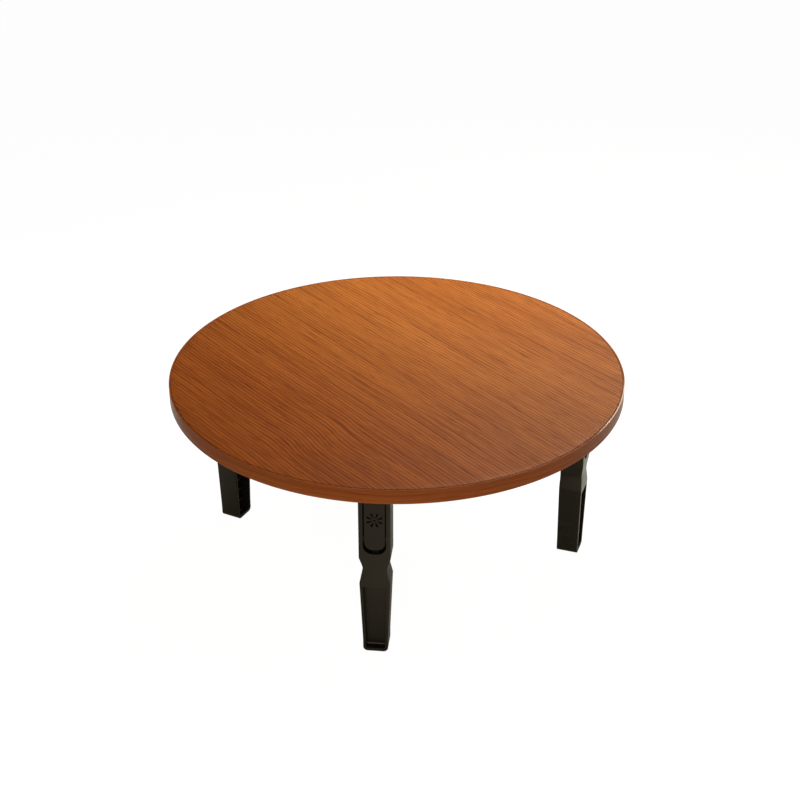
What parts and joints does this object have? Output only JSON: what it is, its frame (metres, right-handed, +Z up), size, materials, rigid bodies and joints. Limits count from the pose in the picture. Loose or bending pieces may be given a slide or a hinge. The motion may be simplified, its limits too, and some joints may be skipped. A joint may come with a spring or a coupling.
{
  "type": "chabudai folding low table",
  "caption": "Low round table with a veneered top on moulded legs, each with a press tongue, that fold in flat under it.",
  "frame": {"origin": "on the floor under the centre of the round top", "axes": "+Z up along the top's axis, -Y towards the front leg, +X towards the right leg"},
  "size_m": [0.8, 0.8, 0.358],
  "materials": {
    "top_wood": "satin lacquer over straight-grained veneer",
    "edge_wood": "satin lacquer",
    "core": "raw fibreboard",
    "backing": "matt laminate",
    "leg_plastic": "fine moulded texture",
    "tongue_plastic": "fine moulded texture",
    "bracket_paint": "black powder coat",
    "zinc_steel": "zinc plated",
    "spring_steel": "blued spring steel",
    "pad_rubber": "matt"
  },
  "bodies": {
    "table": {"core_board": "core", "balancing_sheet": "backing", "top_veneer": "top_wood", "edge_band": "edge_wood", "bracket_screws": "zinc_steel", "hinge_bracket_front": "bracket_paint", "hinge_pin_front": "zinc_steel", "hinge_bracket_right": "bracket_paint", "hinge_pin_right": "zinc_steel", "hinge_bracket_back": "bracket_paint", "hinge_pin_back": "zinc_steel", "hinge_bracket_left": "bracket_paint", "hinge_pin_left": "zinc_steel"},
    "front_leg": {"leg_front": "leg_plastic", "tongue_pin_front": "zinc_steel", "latch_spring_front": "spring_steel", "latch_screw_front": "zinc_steel", "foot_pad_front": "pad_rubber"},
    "front_tongue": {"release_tongue_front": "tongue_plastic"},
    "right_leg": {"leg_right": "leg_plastic", "tongue_pin_right": "zinc_steel", "latch_spring_right": "spring_steel", "latch_screw_right": "zinc_steel", "foot_pad_right": "pad_rubber"},
    "right_tongue": {"release_tongue_right": "tongue_plastic"},
    "back_leg": {"leg_back": "leg_plastic", "tongue_pin_back": "zinc_steel", "latch_spring_back": "spring_steel", "latch_screw_back": "zinc_steel", "foot_pad_back": "pad_rubber"},
    "back_tongue": {"release_tongue_back": "tongue_plastic"},
    "left_leg": {"leg_left": "leg_plastic", "tongue_pin_left": "zinc_steel", "latch_spring_left": "spring_steel", "latch_screw_left": "zinc_steel", "foot_pad_left": "pad_rubber"},
    "left_tongue": {"release_tongue_left": "tongue_plastic"}
  },
  "joints": [
    {"name": "fold_front", "type": "hinge", "parent": "table", "child": "front_leg", "pos_m": [0, -0.3225, 0.307], "axis": [1, 0, 0], "range_deg": [0, 90]},
    {"name": "press_front", "type": "hinge", "parent": "front_leg", "child": "front_tongue", "pos_m": [0, -0.3373, 0.295], "axis": [1, 0, 0], "range_deg": [0, 3.5], "stiffness_Nm_per_rad": 8, "springref_deg": -0.57, "deforming": ["latch_spring_front"]},
    {"name": "fold_right", "type": "hinge", "parent": "table", "child": "right_leg", "pos_m": [0.32245, 0.00563, 0.307], "axis": [0.225, 0.9744, 0], "range_deg": [0, 90]},
    {"name": "press_right", "type": "hinge", "parent": "right_leg", "child": "right_tongue", "pos_m": [0.33687, 0.0023, 0.295], "axis": [0.225, 0.9744, 0], "range_deg": [0, 3.5], "stiffness_Nm_per_rad": 8, "springref_deg": -0.57, "deforming": ["latch_spring_right"]},
    {"name": "fold_back", "type": "hinge", "parent": "table", "child": "back_leg", "pos_m": [-0.0225, 0.32171, 0.307], "axis": [-0.9994, -0.0349, 0], "range_deg": [0, 90]},
    {"name": "press_back", "type": "hinge", "parent": "back_leg", "child": "back_tongue", "pos_m": [-0.02301, 0.3365, 0.295], "axis": [-0.9994, -0.0349, 0], "range_deg": [0, 3.5], "stiffness_Nm_per_rad": 8, "springref_deg": -0.57, "deforming": ["latch_spring_back"]},
    {"name": "fold_left", "type": "hinge", "parent": "table", "child": "left_leg", "pos_m": [-0.3176, 0.056, 0.307], "axis": [-0.3665, -0.9304, 0], "range_deg": [0, 90]},
    {"name": "press_left", "type": "hinge", "parent": "left_leg", "child": "left_tongue", "pos_m": [-0.33137, 0.06143, 0.295], "axis": [-0.3665, -0.9304, 0], "range_deg": [0, 3.5], "stiffness_Nm_per_rad": 8, "springref_deg": -0.57, "deforming": ["latch_spring_left"]}
  ]
}
